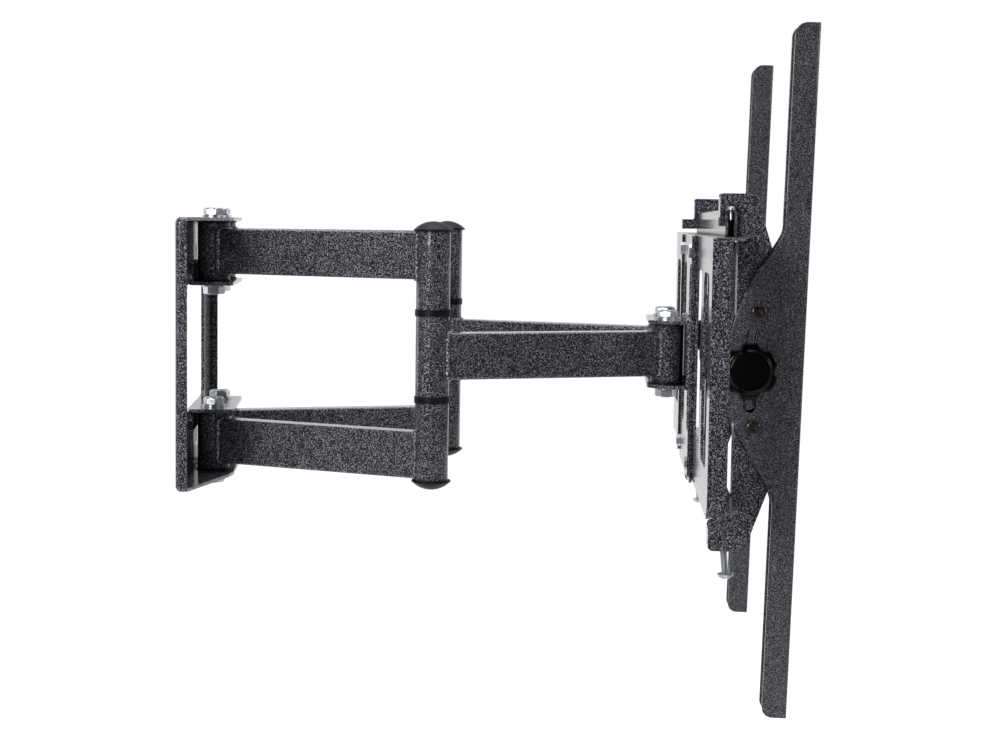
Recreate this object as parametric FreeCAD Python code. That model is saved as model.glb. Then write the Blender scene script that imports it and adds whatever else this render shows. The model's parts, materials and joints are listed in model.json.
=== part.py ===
"""Full motion wall mount for a television: wall plate, two pairs of folding
arms, head with adapter plate, two hook arms and two tilting TV brackets.

Frame: X away from the wall, Y along the wall, Z up, origin on the wall face
at the centre of the wall plate.  Millimetres.  The part is drawn pulled out
and turned a little to one side; the head parts are drawn in the head's own
frame (x away from the head pivots, y along the adapter plate) and placed.
"""
import FreeCAD, Part
import math
import os

V = FreeCAD.Vector
os.makedirs("parts", exist_ok=True)

# ------------------------------------------------------------ driving sizes
# clearances
gap = 0.3                    # between parts of different bodies
running = 0.05               # running fit, radial
open_pin_play = 0.40         # play of the far head pivot, radial

# sheet
sheet = 3.0                  # wall plate, yokes
thin_sheet = 2.5             # adapter plate, hook arms, TV brackets

# wall plate
wall_width = 320.0
wall_height = 230.0
wall_flange = 10.0
wall_corner = 5.0
window_half = 86.0           # window across Y
window_height = 112.0
wall_slot_y = 122.0          # corner screw slots
wall_slot_z = 84.0
wall_slot_w = 9.0
wall_slot_len = 34.0
mid_slot_len = 15.0          # upright slots on the centre line

# arms
arm_length = 220.0           # pivot to pivot, rear and front arms alike
pivot_spacing = 68.0         # near pivot to far pivot, at wall and head
tube_height = 40.0
tube_width = 20.0
tube_wall = 2.0
barrel_radius = 14.4
barrel_wall = 3.0
barrel_gap = 1.6             # barrels to the sheet behind them
yoke_gap = 54.0              # between the two ears of a yoke
yoke_depth = 41.0            # wall face to front edge of the wall ears
yoke_half = 62.0             # half width of every ear
bush_flange = 1.5
bush_proud = 1.0             # bush flange past the barrel
sleeve_wall = 2.0
stack_half = 106.0           # half height of the elbow stack
ring_height = 5.4
ring_mid = 37.0
ring_proud = 0.8             # rings past the sleeves
pin_wall = 3.0
cap_proud = 2.4              # caps past the sleeves
cap_rim = 2.0
cap_dome = 6.5
cap_plug = 9.0

# drawn pose: directions in the plan, degrees from +X
rear_near_dir = -28.7
front_near_dir = 15.9
head_dir = -7.4
tv_tilt = 1.27               # top of the TV brackets away from the wall

# pivot fasteners, M10
bolt_radius = 5.0
bolt_head_af = 17.0
bolt_head = 6.4
washer_radius = 10.5
washer_thick = 2.0
nut_thick = 6.5
thread_out = 0.8             # thread past the nut
head_turn = 13.0             # degrees the bolt heads happen to be turned

# head
adapter_width = 640.0
adapter_top = 106.0
adapter_bottom = -104.0
adapter_side = 14.5          # depth of the side flanges
adapter_lip = 26.1           # depth of the top and bottom flanges
adapter_corner = 12.0
adapter_window = (100.0, 184.0, -64.0, 78.0)    # y, y, z, z
outer_window = (214.0, 286.0, -70.0, 78.0)
centre_half = 98.0           # centre plate
centre_top = 106.0
centre_bottom = -108.0
centre_flange = 4.5
centre_window = (27.0, 73.0, -68.0, 80.0)       # also through the adapter
centre_bolt_y = 84.0
centre_bolt_z = 92.0
m6_radius = 3.0
m6_af = 10.0
m6_head = 4.0
m6_washer = 1.4
m6_nut = 5.0

# rail on the top flange
rail_x = 37.0
rail_width = 9.0
rail_height = 21.0
rail_end = 3.5               # end of the rail past the stop screws
rail_wall = 2.0
rail_screw_radius = 2.0
rail_screw_head = 3.0          # radius; the heads stop the hook arms
rail_screw_top = 2.5
stop_gap = 1.3               # hook arm to stop screw

# TV brackets, 400 mm apart
bracket_spacing = 400.0
channel_x = 82.0             # wall side edge of the channel, at z = 0
channel_depth = 20.0
channel_width = 26.0
bracket_top = 274.0
bracket_bottom = -280.0
vesa_half = 200.0
vesa_hole = 4.25
tilt_radius = 182.0          # radius of the tilt slots
tilt_travel = 8.5            # degrees either way
stud_radius = 4.0
stud_slot = 5.0              # half width of the slot in the bracket
stud_from_channel = -23.6    # stud line, from the channel's edge
guide_z = 46.0               # guide bolts above and below the stud
guide_slot = 3.4
guide_head_radius = 5.8      # round heads with a hexagon socket
guide_head = 2.6
guide_socket = 2.2
guide_socket_af = 4.0

# hook arms
hook_top = 140.0
hook_bottom = -146.0
lip_x = 33.0
foot_x = 29.5

# knobs
knob_radius = 22.5
knob_core = 17.0
knob_thick = 17.0
knob_lobes = 6

# lock screws, M6
lock_x = 42.8                # where the axis leaves the foot
lock_lean = 6.0              # degrees from upright
lock_length = 61.0
lock_head_radius = 6.4
lock_head = 5.0

# ------------------------------------------------------------ derived sizes
half_spacing = pivot_spacing / 2
wall_pivot_x = 2 * sheet + barrel_gap + barrel_radius
bush_flange_radius = barrel_radius + bush_proud
ring_radius = barrel_radius + ring_proud
cap_radius = barrel_radius + cap_proud
head_base_x = barrel_radius + barrel_gap             # wall side of the yoke's base
adapter_x = head_base_x + sheet + thin_sheet         # wall side of the adapter plate
arm_z = wall_height / 2 - sheet - yoke_gap / 2      # rear arms, up and down
barrel_half = yoke_gap / 2 - bush_flange
head_ear_z = yoke_gap / 2
hook_half = channel_width / 2 - thin_sheet - gap    # outside of the hook arm
hook_back = adapter_x + adapter_lip + gap           # rests on the flanges
stop_y = bracket_spacing / 2 + hook_half + stop_gap + rail_screw_head
rail_half = stop_y + rail_end
rear_top = arm_z + yoke_gap / 2
mid_low = ring_mid - ring_height / 2
mid_high = ring_mid + ring_height / 2
tilt_axis_x = stud_from_channel + tilt_radius       # from the channel's edge
guide_angle = math.degrees(math.asin(guide_z / tilt_radius))


# ------------------------------------------------------------------ helpers
def box(x0, x1, y0, y1, z0, z1):
    return Part.makeBox(x1 - x0, y1 - y0, z1 - z0, V(x0, y0, z0))


def rod(x, y, z0, z1, r):
    return Part.makeCylinder(r, z1 - z0, V(x, y, z0), V(0, 0, 1))


def tube(x, y, z0, z1, r, bore):
    return rod(x, y, z0, z1, r).cut(rod(x, y, z0 - 1, z1 + 1, bore))


def rod_y(x, z, y0, y1, r):
    return Part.makeCylinder(r, y1 - y0, V(x, y0, z), V(0, 1, 0))


def rod_x(y, z, x0, x1, r):
    return Part.makeCylinder(r, x1 - x0, V(x0, y, z), V(1, 0, 0))


def outline(points):
    """Closed flat wire through (a, b, r) corners; r rounds the corner."""
    n = len(points)
    ends, arcs = [], []
    for i in range(n):
        a = V(points[i - 1][0], points[i - 1][1], 0)
        b = V(points[i][0], points[i][1], 0)
        c = V(points[(i + 1) % n][0], points[(i + 1) % n][1], 0)
        r = points[i][2] if len(points[i]) > 2 else 0
        if r <= 0:
            ends.append((b, b))
            arcs.append(None)
            continue
        u = (a - b).normalize()
        w = (c - b).normalize()
        half = math.acos(max(-1, min(1, u.dot(w)))) / 2
        run = r / math.tan(half)
        mid = (u + w).normalize()
        centre = b + mid * (r / math.sin(half))
        ends.append((b + u * run, b + w * run))
        arcs.append(Part.Arc(b + u * run, centre - mid * r, b + w * run))
    edges = []
    for i in range(n):
        if arcs[i]:
            edges.append(arcs[i].toShape())
        p, q = ends[i][1], ends[(i + 1) % n][0]
        if p.distanceToPoint(q) > 1e-6:
            edges.append(Part.LineSegment(p, q).toShape())
    return Part.Wire(edges)


def slab_xy(points, z0, z1):
    s = Part.Face(outline(points)).extrude(V(0, 0, z1 - z0))
    s.translate(V(0, 0, z0))
    return s


def slab_xz(points, y0, y1):
    s = Part.Face(outline(points)).extrude(V(0, 0, y0 - y1))
    s.rotate(V(0, 0, 0), V(1, 0, 0), 90)
    s.translate(V(0, y0, 0))
    return s


def slab_yz(points, x0, x1):
    s = Part.Face(outline(points)).extrude(V(0, 0, x1 - x0))
    s.Placement = FreeCAD.Placement(V(x0, 0, 0), FreeCAD.Rotation(V(0, 1, 0), V(0, 0, 1), V(1, 0, 0), "XYZ"))
    return s


def slot_x(y, z, length, width, x0, x1, upright=False):
    """Cutter for a slot through a sheet that faces X; ends are round."""
    a, b = (width / 2, length / 2) if upright else (length / 2, width / 2)
    r = width / 2 - 0.001
    pts = [(y - a, z - b, r), (y + a, z - b, r), (y + a, z + b, r), (y - a, z + b, r)]
    return slab_yz(pts, x0, x1)


def hex_z(x, y, z0, z1, across, chamfer_top=True, turn=0):
    """Hexagon prism turned by some degrees, its corners turned off at one end."""
    r = across / math.sqrt(3)
    pts = [(x + r * math.cos(math.radians(60 * k + turn)), y + r * math.sin(math.radians(60 * k + turn)))
           for k in range(6)]
    s = slab_xy(pts, z0, z1)
    h = (r - across / 2) * 0.9
    c = rod(x, y, z0, z1 - h, r + 1) if chamfer_top else rod(x, y, z0 + h, z1, r + 1)
    if chamfer_top:
        c = c.fuse(Part.makeCone(r + 0.4, across / 2, h, V(x, y, z1 - h), V(0, 0, 1)))
    else:
        c = c.fuse(Part.makeCone(across / 2, r + 0.4, h, V(x, y, z0), V(0, 0, 1)))
    return s.common(c)


def fuse(*shapes):
    s = shapes[0]
    for t in shapes[1:]:
        s = s.fuse(t)
    return s.removeSplitter()


def cut(shape, *tools):
    for t in tools:
        shape = shape.cut(t)
    return shape


def group(*shapes):
    return Part.makeCompound(list(shapes))


def turned(shape, x, y, degrees):
    """Turn about Z by degrees, then move the local origin to x, y."""
    s = shape.copy()
    s.rotate(V(0, 0, 0), V(0, 0, 1), degrees)
    s.translate(V(x, y, 0))
    return s


def save(name, shape):
    shape.exportStep("parts/" + name + ".step")


# ------------------------------------------------------------- plan of pivots
def step(x, y, length, degrees):
    a = math.radians(degrees)
    return x + length * math.cos(a), y + length * math.sin(a)


def heading(x0, y0, x1, y1):
    return math.degrees(math.atan2(y1 - y0, x1 - x0))


near_elbow = step(wall_pivot_x, -half_spacing, arm_length, rear_near_dir)
near_head = step(near_elbow[0], near_elbow[1], arm_length, front_near_dir)
head_mid = step(near_head[0], near_head[1], half_spacing, head_dir + 90)
far_head = step(near_head[0], near_head[1], pivot_spacing, head_dir + 90)

# far elbow: where circles about the far wall pivot and far head pivot cross
reach = math.hypot(far_head[0] - wall_pivot_x, far_head[1] - half_spacing)
bend = math.degrees(math.acos(reach / 2 / arm_length))
rear_far_dir = heading(wall_pivot_x, half_spacing, far_head[0], far_head[1]) + bend
far_elbow = step(wall_pivot_x, half_spacing, arm_length, rear_far_dir)
front_far_dir = heading(far_elbow[0], far_elbow[1], far_head[0], far_head[1])


# ---------------------------------------------------------------- wall plate
def wall_plate():
    w, h, c = wall_width / 2, wall_height / 2, wall_corner
    pan = box(0, wall_flange, -w, w, -h, h)
    back = [e for e in pan.Edges if e.BoundBox.XMax < 1e-6]
    along = [e for e in pan.Edges if e.BoundBox.XLength > wall_flange - 1e-6]
    pan = pan.makeFillet(c, back + along)
    inner = box(sheet, wall_flange + 1, sheet - w, w - sheet, sheet - h, h - sheet)
    along = [e for e in inner.Edges
             if e.BoundBox.XLength > wall_flange - sheet and e.BoundBox.YLength < 1e-6]
    inner = inner.makeFillet(c - sheet, along)
    pan = pan.cut(inner)
    ear = [(sheet, c - w), (wall_flange, c - w), (yoke_depth - 3, -yoke_half - 4, 4),
           (yoke_depth, 12 - yoke_half, 6), (yoke_depth, yoke_half - 12, 6),
           (yoke_depth - 3, yoke_half + 4, 4), (wall_flange, w - c), (sheet, w - c)]
    ears = [slab_xy(ear, h - sheet, h), slab_xy(ear, -h, sheet - h)]
    plate = fuse(pan, *ears)
    hw, hh = window_half, window_height / 2
    window = slab_yz([(-hw, -hh, 8), (hw, -hh, 8), (hw, hh, 8), (-hw, hh, 8)], -1, sheet + 1)
    cuts = [window]
    for z in (-wall_slot_z, wall_slot_z):
        for y in (-wall_slot_y, wall_slot_y):
            cuts.append(slot_x(y, z, wall_slot_len, wall_slot_w, -1, sheet + 1))
        cuts.append(slot_x(0, z, mid_slot_len, wall_slot_w, -1, sheet + 1, True))
    for y in (-half_spacing, half_spacing):
        cuts.append(rod(wall_pivot_x, y, -h - 1, sheet - h + 1, bolt_radius + running))
        cuts.append(rod(wall_pivot_x, y, h - sheet - 1, h + 1, bolt_radius + running))
    return cut(plate, *cuts)


def inner_ear(side):
    """Ear welded to the wall plate by an upturned back; side is +1 or -1."""
    z = arm_z - yoke_gap / 2
    ear = slab_xy([(sheet, -yoke_half), (yoke_depth, -yoke_half, 5),
                   (yoke_depth, yoke_half, 5), (sheet, yoke_half)], z - sheet, z)
    back = slab_yz([(-yoke_half, z - sheet), (yoke_half, z - sheet),
                    (yoke_half, z + 16, 6), (-yoke_half, z + 16, 6)], sheet, 2 * sheet)
    s = fuse(ear, back)
    for y in (-half_spacing, half_spacing):
        s = s.cut(rod(wall_pivot_x, y, z - sheet - 1, z + 1, bolt_radius + running))
    if side < 0:
        s = s.mirror(V(0, 0, 0), V(0, 0, 1))
    return s


def pivot_bolt(x, y, top, bottom, turn=0):
    """Hexagon bolt from above: top and bottom are the ears' outer faces."""
    seat = top + washer_thick
    end = bottom - washer_thick - nut_thick - thread_out
    head = hex_z(x, y, seat, seat + bolt_head, bolt_head_af, True, turn)
    return fuse(head, rod(x, y, end, seat, bolt_radius))


def pivot_washers(x, y, top, bottom):
    up = tube(x, y, top, top + washer_thick, washer_radius, bolt_radius + running)
    low = tube(x, y, bottom - washer_thick, bottom, washer_radius, bolt_radius + running)
    return [up, low]


def pivot_nut(x, y, bottom):
    top = bottom - washer_thick
    return hex_z(x, y, top - nut_thick, top, bolt_head_af, False).cut(
        rod(x, y, top - nut_thick - 1, top + 1, bolt_radius))


# ---------------------------------------------------------------------- arms
def arm_tube(z):
    """Rectangular tube between two round sleeves, ends cut to fit them."""
    h, w, t = tube_height / 2, tube_width / 2, tube_wall
    outer = box(0, arm_length, -w, w, z - h, z + h)
    edges = [e for e in outer.Edges if e.BoundBox.XLength > arm_length - 1e-6]
    outer = outer.makeFillet(2.5, edges)
    s = outer.cut(box(-1, arm_length + 1, t - w, w - t, z - h + t, z + h - t))
    return cut(s, rod(0, 0, z - h - 1, z + h + 1, barrel_radius),
               rod(arm_length, 0, z - h - 1, z + h + 1, barrel_radius))


def barrel(x, z):
    return tube(x, 0, z - barrel_half, z + barrel_half, barrel_radius, barrel_radius - barrel_wall)


def bush(x, z, side, bore):
    """Flanged plastic bush pushed into one end of a barrel."""
    r = barrel_radius - barrel_wall
    face = barrel_half * side
    a, b = sorted((face, face + bush_flange * side))
    c, d = sorted((face - 14 * side, face))
    s = fuse(rod(x, 0, z + a, z + b, bush_flange_radius), rod(x, 0, z + c, z + d, r))
    return s.cut(rod(x, 0, z - barrel_half - 5, z + barrel_half + 5, bore))


def sleeve(x, z0, z1):
    return tube(x, 0, z0, z1, barrel_radius, barrel_radius - sleeve_wall)


def elbow_pin():
    r = barrel_radius - sleeve_wall - running
    return tube(arm_length, 0, -stack_half, stack_half, r, r - pin_wall)


def elbow_ring(side):
    a, b = sorted((mid_low * side, mid_high * side))
    return tube(arm_length, 0, a, b, ring_radius, barrel_radius - sleeve_wall)


def elbow_cap(side):
    """Domed plastic cap: rim, dome and a plug inside the pin."""
    bore = barrel_radius - sleeve_wall - running - pin_wall
    r, h = cap_radius - 0.8, cap_dome
    ball = (r * r + h * h) / (2 * h)
    dome = Part.makeSphere(ball, V(0, 0, cap_rim + h - ball))
    dome = dome.common(Part.makeCylinder(r, h, V(0, 0, cap_rim)))
    rim = Part.makeCylinder(cap_radius, cap_rim)
    rim = rim.makeFillet(0.8, [e for e in rim.Edges if e.BoundBox.ZLength < 1e-6])
    plug = Part.makeCylinder(bore, cap_plug, V(0, 0, -cap_plug))
    s = fuse(rim, dome, plug.cut(Part.makeCylinder(bore - 2, cap_plug, V(0, 0, -cap_plug - 2))))
    s.translate(V(0, 0, stack_half))
    if side < 0:
        s = s.mirror(V(0, 0, 0), V(0, 0, 1))
    s.translate(V(arm_length, 0, 0))
    return s


def save_rear_arm(side, x, y, degrees):
    def put(shape):
        return turned(shape, x, y, degrees)
    for level, z, a, b in (("upper", arm_z, mid_high, stack_half),
                           ("lower", -arm_z, -stack_half, -mid_high)):
        save(f"rear_{side}_{level}_barrel", put(barrel(0, z)))
        save(f"rear_{side}_{level}_tube", put(arm_tube(z)))
        save(f"rear_{side}_{level}_sleeve", put(sleeve(arm_length, a, b)))
    bore = bolt_radius + running
    bushes = [put(bush(0, z, s, bore)) for z in (-arm_z, arm_z) for s in (-1, 1)]
    save(f"rear_{side}_bushes", group(*bushes))
    save(f"elbow_{side}_pin", put(elbow_pin()))
    save(f"elbow_{side}_rings", group(put(elbow_ring(-1)), put(elbow_ring(1))))
    save(f"elbow_{side}_caps", group(put(elbow_cap(-1)), put(elbow_cap(1))))


def save_front_arm(side, x, y, degrees, bore):
    def put(shape):
        return turned(shape, x, y, degrees)
    save(f"front_{side}_sleeve", put(sleeve(0, -mid_low, mid_low)))
    save(f"front_{side}_tube", put(arm_tube(0)))
    save(f"front_{side}_barrel", put(barrel(arm_length, 0)))
    save(f"front_{side}_bushes", group(*[put(bush(arm_length, 0, s, bore)) for s in (-1, 1)]))


# ---------------------------------------------------------------------- head
def head_yoke():
    """Base on the centre plate with an ear above and below the barrels."""
    x0, x1, z = head_base_x, head_base_x + sheet, head_ear_z
    base = slab_yz([(-yoke_half, -z - sheet), (yoke_half, -z - sheet),
                    (yoke_half, z + sheet), (-yoke_half, z + sheet)], x0, x1)
    front = -17.5
    ear = [(x1, -yoke_half), (4, -yoke_half, 10), (front, -half_spacing - 14, 9),
           (front, half_spacing + 14, 9), (4, yoke_half, 10), (x1, yoke_half)]
    s = fuse(base, slab_xy(ear, z, z + sheet), slab_xy(ear, -z - sheet, -z))
    for y in (-half_spacing, half_spacing):
        s = s.cut(rod(0, y, -z - 9, z + 9, bolt_radius + running))
    return s


def windows(size, x0, x1):
    """Cutters for a window and its mirror image, corners rounded."""
    low, high, z0, z1 = size
    return [slab_yz([(a, z0, 12), (b, z0, 12), (b, z1, 12), (a, z1, 12)], x0, x1)
            for a, b in ((low, high), (-high, -low))]


def centre_plate():
    x1 = adapter_x
    x0 = x1 - thin_sheet
    face = slab_yz([(-centre_half, centre_bottom, 6), (centre_half, centre_bottom, 6),
                    (centre_half, centre_top, 6), (-centre_half, centre_top, 6)], x0, x1)
    sides = [box(x1 - centre_flange, x1, *ys, centre_bottom + 6, centre_top - 1)
             for ys in ((-centre_half, thin_sheet - centre_half), (centre_half - thin_sheet, centre_half))]
    s = fuse(face, *sides)
    for window in windows(centre_window, x0 - 1, x1 + 1):
        s = s.cut(window)
    for y in (-centre_bolt_y, centre_bolt_y):
        for z in (-centre_bolt_z, centre_bolt_z):
            s = s.cut(rod_x(y, z, x0 - 9, x1 + 9, m6_radius + running))
    return s


def centre_fasteners():
    """Four M6 bolts from the wall side, and their nuts."""
    seat = adapter_x - thin_sheet
    bolt = fuse(hex_z(0, 0, 0, m6_head, m6_af), rod(0, 0, -2 * thin_sheet - m6_nut - 2, 0, m6_radius))
    nut = hex_z(0, 0, -2 * thin_sheet - m6_nut, -2 * thin_sheet, m6_af, False)
    nut = nut.cut(rod(0, 0, -40, 40, m6_radius))
    bolts, nuts = [], []
    for y in (-centre_bolt_y, centre_bolt_y):
        for z in (-centre_bolt_z, centre_bolt_z):
            for part, into in ((bolt, bolts), (nut, nuts)):
                s = part.copy()
                s.rotate(V(0, 0, 0), V(0, 1, 0), -90)
                s.translate(V(seat, y, z))
                into.append(s)
    return bolts, nuts


def adapter_plate():
    x0, x1, t = adapter_x, adapter_x + adapter_lip, thin_sheet
    w, top, low, c = adapter_width / 2, adapter_top, adapter_bottom, adapter_corner
    face = slab_yz([(-w, low + c), (c - w, low), (w - c, low), (w, low + c),
                    (w, top, 3), (-w, top, 3)], x0, x0 + t)
    lip = [(x0, c - w), (x0, w - c), (x1, w - 40, 4), (x1, 40 - w, 4)]
    upper = [(x0, 3 - w), (x0, w - 3), (x1, w - 34, 4), (x1, 34 - w, 4)]
    side = [(x0, low + c), (x0 + 4, low + 3, 2), (x0 + adapter_side, low + 3, 3),
            (x0 + adapter_side, top - 1, 3), (x0, top - 1, 2)]
    s = fuse(face, slab_xy(upper, top - t, top), slab_xy(lip, low, low + t),
             slab_xz(side, -w, t - w), slab_xz(side, w - t, w))
    for size in (centre_window, adapter_window, outer_window):
        for window in windows(size, x0 - 1, x0 + t + 1):
            s = s.cut(window)
    for y in (-centre_bolt_y, centre_bolt_y):
        for z in (-centre_bolt_z, centre_bolt_z):
            s = s.cut(rod_x(y, z, x0 - 1, x0 + t + 1, m6_radius + running))
    for y in (-162, 162):
        s = s.cut(slot_x(y, 90, 15, 8, x0 - 1, x0 + t + 1, True))
    return s


def top_rail():
    a, b, z0, z1, t = rail_x, rail_x + rail_width, adapter_top, adapter_top + rail_height, rail_wall
    s = slab_xz([(a, z0), (b, z0), (b, z1, 2), (a, z1, 2)], -rail_half, rail_half)
    s = s.cut(box(a + t, b - t, -rail_half - 1, rail_half + 1, z0 - 1, z1 - t))
    for screw in rail_screws():
        s = s.cut(screw)
    return s


def rail_screws():
    """Screw in the top of the rail at each end, which stops the hook arms."""
    x, z = rail_x + rail_width / 2, adapter_top + rail_height
    screws = []
    for y in (-stop_y, stop_y):
        head = rod(x, y, z, z + rail_screw_top, rail_screw_head)
        head = head.makeFillet(1.2, [e for e in head.Edges if e.BoundBox.ZMin > z + rail_screw_top - 0.01])
        screws.append(fuse(head, rod(x, y, z - 8, z, rail_screw_radius)))
    return screws


# --------------------------------------------------- hook arms and TV brackets
def tilt_place(shape):
    """From the bracket's own frame (x from the channel's edge) to the head's."""
    s = shape.copy()
    s.rotate(V(0, 0, 0), V(0, 1, 0), tv_tilt)
    s.translate(V(channel_x, 0, 0))
    return s


def on_arc(degrees, radius):
    a = math.radians(degrees)
    return tilt_axis_x - radius * math.cos(a), radius * math.sin(a)


def arc_slot(low, high, half_width, y0, y1):
    """Slot along the tilt arc from low to high degrees, round ends."""
    r0, r1 = tilt_radius - half_width, tilt_radius + half_width

    def p(deg, r):
        x, z = on_arc(deg, r)
        return V(x, 0, z)
    mid = (low + high) / 2
    ends = []
    for deg, out in ((high, 1), (low, -1)):
        x, z = on_arc(deg, tilt_radius)
        a = math.radians(deg)
        ends.append(V(x + half_width * math.sin(a) * out, 0, z + half_width * math.cos(a) * out))
    wire = Part.Wire([
        Part.Arc(p(low, r1), p(mid, r1), p(high, r1)).toShape(),
        Part.Arc(p(high, r1), ends[0], p(high, r0)).toShape(),
        Part.Arc(p(high, r0), p(mid, r0), p(low, r0)).toShape(),
        Part.Arc(p(low, r0), ends[1], p(low, r1)).toShape()])
    s = Part.Face(wire).extrude(V(0, y1 - y0, 0))
    s.translate(V(0, y0, 0))
    return s


def tv_bracket():
    """Channel with a belly on both flanges; centred on y = 0."""
    w, t, d = channel_width / 2, thin_sheet, channel_depth
    side = [(d, bracket_bottom), (d, bracket_top), (0, bracket_top, 10),
            (0, 110, 18), (-10, 92, 6), (-20.5, 79, 8), (-29, 61, 20), (-35.5, 43, 30), (-39.4, 26, 26),
            (-39.4, -22, 26), (-36, -38, 20), (-29, -53, 20), (-18.5, -71, 8), (-4.5, -92, 6),
            (0, -106, 16), (0, bracket_bottom, 8)]
    web = box(d - t, d, -w, w, bracket_bottom, bracket_top)
    s = fuse(web, slab_xz(side, -w, t - w), slab_xz(side, w - t, w))
    bends = [e for e in s.Edges if e.BoundBox.ZLength > 500 and e.BoundBox.XMin > d - 1e-3]
    s = s.makeFillet(2.4, bends)
    reach = tilt_travel + 0.8
    s = s.cut(arc_slot(-reach, reach, stud_slot, -w - 1, w + 1))
    for deg in (-guide_angle, guide_angle):
        x, z = on_arc(deg, tilt_radius)
        s = s.cut(rod_y(x, z, -w - 1, w + 1, m6_radius + running))
    for z in (-vesa_half, vesa_half):
        s = s.cut(rod_x(0, z, d - t - 1, d + 1, vesa_hole))
    for z in (-238, -150, -106, -62, 62, 106, 150, 238):
        s = s.cut(slot_x(0, z, 32, 8.5, d - t - 1, d + 1, True))
    return s


def hook_arm(side):
    """Folded hook arm, centred on y = 0; side is -1 near, +1 far."""
    h, t = hook_half, thin_sheet
    lip_top = adapter_top + gap
    rail_top = adapter_top + rail_height + gap
    rail_front = rail_x + rail_width
    slot_back = rail_front + 0.5
    profile = [(lip_x, hook_top, 2), (62, hook_top, 4), (63, 134, 6), (77, 90, 30), (83, 50, 40),
               (83, -50, 40), (76, -97, 10), (63, -133, 6), (54, hook_bottom, 4),
               (foot_x, hook_bottom, 4), (foot_x, -124, 4), (40, -120, 3), (hook_back, -108, 3),
               (hook_back, lip_top), (slot_back, lip_top), (slot_back, rail_top), (rail_x - 0.5, rail_top),
               (rail_x - 0.5, 114), (lip_x, 114)]
    if side > 0:
        profile[-2:] = [(rail_x - 0.5, 110), (21.5, 110), (21.5, 119.5), (lip_x, 119.5)]
    s = fuse(slab_xz(profile, -h, t - h), slab_xz(profile, h - t, h),
             box(hook_back, hook_back + t, -h, h, -106, 104),
             box(lip_x, rail_x - 0.5, -h, h, 121, hook_top - 2.5),
             box(foot_x, foot_x + t, -h, h, hook_bottom + 4, -128),
             box(foot_x + 4, 54 - 4, -h, h, hook_bottom, hook_bottom + t))
    x, z = on_arc(0, tilt_radius)
    cuts = [tilt_place(rod_y(x, z, -h - 1, h + 1, stud_radius + running))]
    for deg in (-guide_angle, guide_angle):
        lo, hi = deg - tilt_travel - 0.4, deg + tilt_travel + 0.4
        cuts.append(tilt_place(arc_slot(lo, hi, guide_slot, -h - 1, h + 1)))
    cuts.append(lock_axis(rod(0, 0, -12, 12, m6_radius + running)))
    return cut(s, *cuts)


def lock_axis(shape):
    """Place a shape drawn along Z on the lock screw's leaning axis."""
    s = shape.copy()
    s.rotate(V(0, 0, 0), V(0, 1, 0), -lock_lean)
    s.translate(V(lock_x, 0, hook_bottom))
    return s


def lock_screw():
    """Pan head screw up through the foot to the adapter's lower flange."""
    lift = (adapter_bottom - gap - 0.5 - hook_bottom) / math.cos(math.radians(lock_lean))
    low = lift - lock_length
    head = Part.makeCylinder(lock_head_radius, lock_head, V(0, 0, low - lock_head))
    rim = [e for e in head.Edges if e.BoundBox.ZMax < low - lock_head + 1e-6]
    head = head.makeFillet(2.6, rim)
    s = fuse(head, rod(0, 0, low, lift - 1.0, m6_radius),
             Part.makeCone(m6_radius, m6_radius - 1.0, 1.0, V(0, 0, lift - 1.0)))
    s = s.cut(box(-4.2, 4.2, -0.6, 0.6, low - lock_head - 1, low - lock_head + 1.8))
    return lock_axis(s.cut(box(-0.6, 0.6, -4.2, 4.2, low - lock_head - 1, low - lock_head + 1.8)))


def tilt_stud():
    """Carriage bolt across the bracket; the knob screws on at y < 0."""
    w = channel_width / 2
    x, z = on_arc(0, tilt_radius)
    washer_out = w + gap
    head_at = washer_out + m6_washer
    body = rod_y(x, z, -w - gap - m6_washer - knob_thick + 3, head_at, stud_radius)
    head = Part.makeCylinder(8.0, 4.0, V(x, head_at, z), V(0, 1, 0))
    head = head.makeFillet(2.0, [e for e in head.Edges if e.BoundBox.YMin > head_at + 3.9])
    return tilt_place(fuse(body, head))


def tilt_washers():
    w = channel_width / 2
    x, z = on_arc(0, tilt_radius)
    out = []
    for a in (-w - gap - m6_washer, w + gap):
        ring = rod_y(x, z, a, a + m6_washer, 9.0).cut(rod_y(x, z, a - 1, a + 9, stud_radius + running))
        out.append(tilt_place(ring))
    return out


def knob():
    """Lobed hand knob with a collar, on the stud outside the bracket."""
    x, z = on_arc(0, tilt_radius)
    face = -channel_width / 2 - gap - m6_washer
    collar = 5.0
    pts = []
    n = knob_lobes * 8
    for i in range(n):
        a = 2 * math.pi * i / n
        lobe = 0.5 + 0.5 * math.cos(knob_lobes * a)
        r = knob_radius - (knob_radius - knob_core - 1.5) * (1 - lobe) ** 1.5
        pts.append(V(r * math.cos(a), r * math.sin(a), 0))
    curve = Part.BSplineCurve()
    curve.interpolate(pts, PeriodicFlag=True)
    body = Part.Face(Part.Wire(curve.toShape())).extrude(V(0, 0, knob_thick - collar))
    ball = Part.makeSphere(60, V(0, 0, knob_thick - collar - 60)).common(
        Part.makeCylinder(40, knob_thick))
    body = body.common(ball)
    body.translate(V(0, 0, collar))
    s = fuse(body, Part.makeCylinder(11.0, collar + 1))
    s = s.cut(Part.makeCylinder(stud_radius + running, knob_thick - 2, V(0, 0, -1)))
    s.rotate(V(0, 0, 0), V(1, 0, 0), 90)
    s.translate(V(x, face, z))
    return tilt_place(s)


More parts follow.
